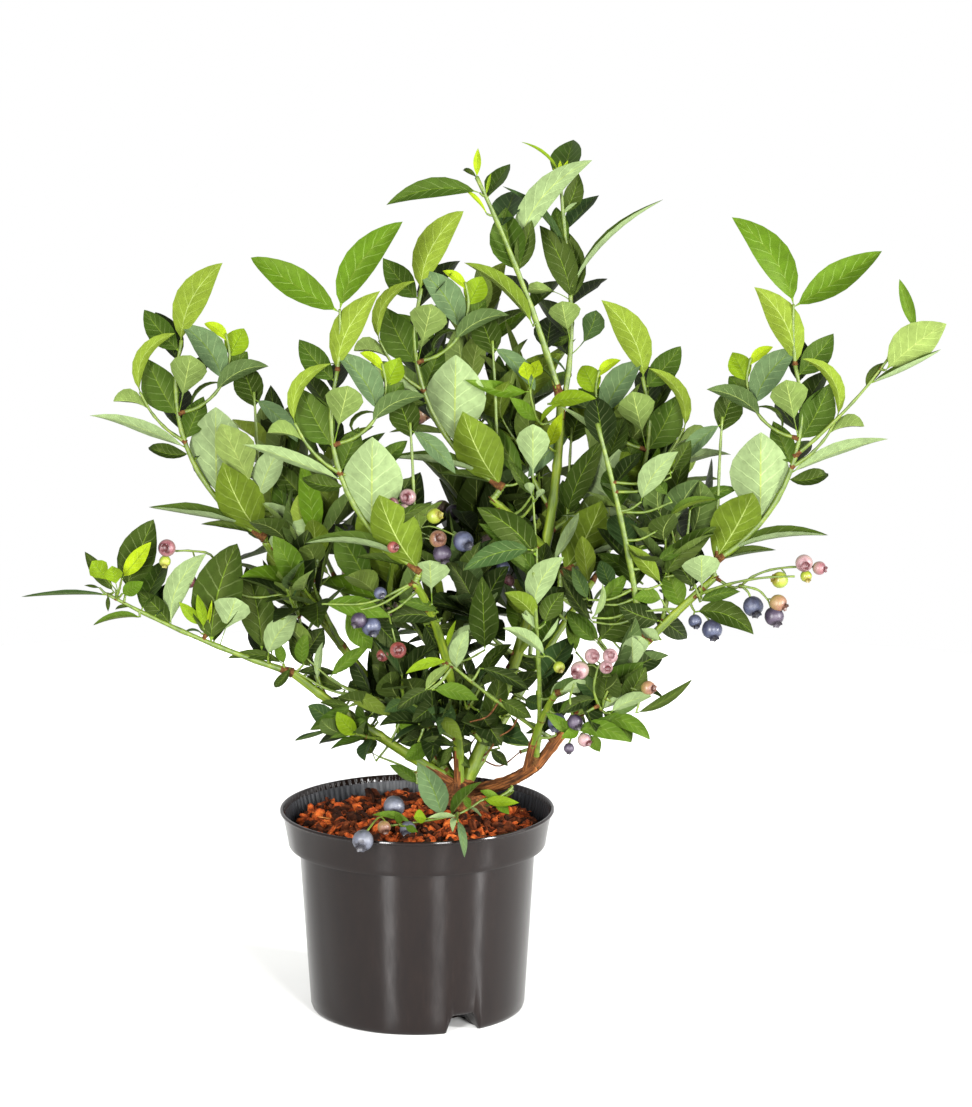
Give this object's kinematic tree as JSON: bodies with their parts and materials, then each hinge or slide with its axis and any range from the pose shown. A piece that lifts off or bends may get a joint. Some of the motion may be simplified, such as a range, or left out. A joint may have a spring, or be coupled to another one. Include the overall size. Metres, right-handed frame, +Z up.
{
  "type": "blueberry bush in a pot",
  "caption": "Highbush blueberry shrub with leafy canes and ripening berries, growing in a round plastic nursery pot of bark mulch.",
  "frame": {"origin": "centre of the pot's flat underside, at the base mount", "axes": "+Z up the pot's axis, -Y towards the front of the bush, +X to the right seen from the front"},
  "size_m": [0.7544, 0.4351, 0.7154],
  "materials": {
    "pot": "dark warm-grey polypropylene, moulded, satin gloss",
    "medium": "orange-brown composted bark chips, rough",
    "woody_bark": "fibrous peeling brown bark",
    "green_bark": "smooth yellow-green young bark",
    "foliage": "leathery leaves, satin above, matte and paler below"
  },
  "bodies": {
    "root": {"back_cane": "green_bark", "back_crown": "foliage", "back_inner": "foliage", "back_left_cane": "green_bark", "back_left_crown": "foliage", "back_left_inner": "foliage", "back_right_cane": "green_bark", "back_right_crown": "foliage", "back_right_inner": "foliage", "centre_bough": "green_bark", "centre_cane": "green_bark", "centre_fill": "foliage", "centre_left_cane": "green_bark", "centre_left_fill": "foliage", "centre_left_spray": "foliage", "centre_low_fill": "foliage", "centre_right_spray": "foliage", "centre_spray": "foliage", "front_middle_shoot": "foliage", "front_right_cane": "green_bark", "growing_medium": "medium", "inner_bough": "green_bark", "left_cane": "green_bark", "left_cane_shoot": "foliage", "left_inner": "foliage", "left_middle": "foliage", "left_skirt": "foliage", "left_spray": "foliage", "left_upper_cane": "green_bark", "low_centre": "foliage", "low_left": "foliage", "low_right": "foliage", "low_thin_shoot": "foliage", "pot": "pot", "right_cane": "green_bark", "right_cane_base": "woody_bark", "right_centre_fill": "foliage", "right_fill": "foliage", "right_fruit_twig": "foliage", "right_middle_shoot": "foliage", "right_spray": "foliage", "stool": "woody_bark", "tall_left_shoot": "foliage", "tall_right_shoot": "foliage"}
  },
  "joints": []
}
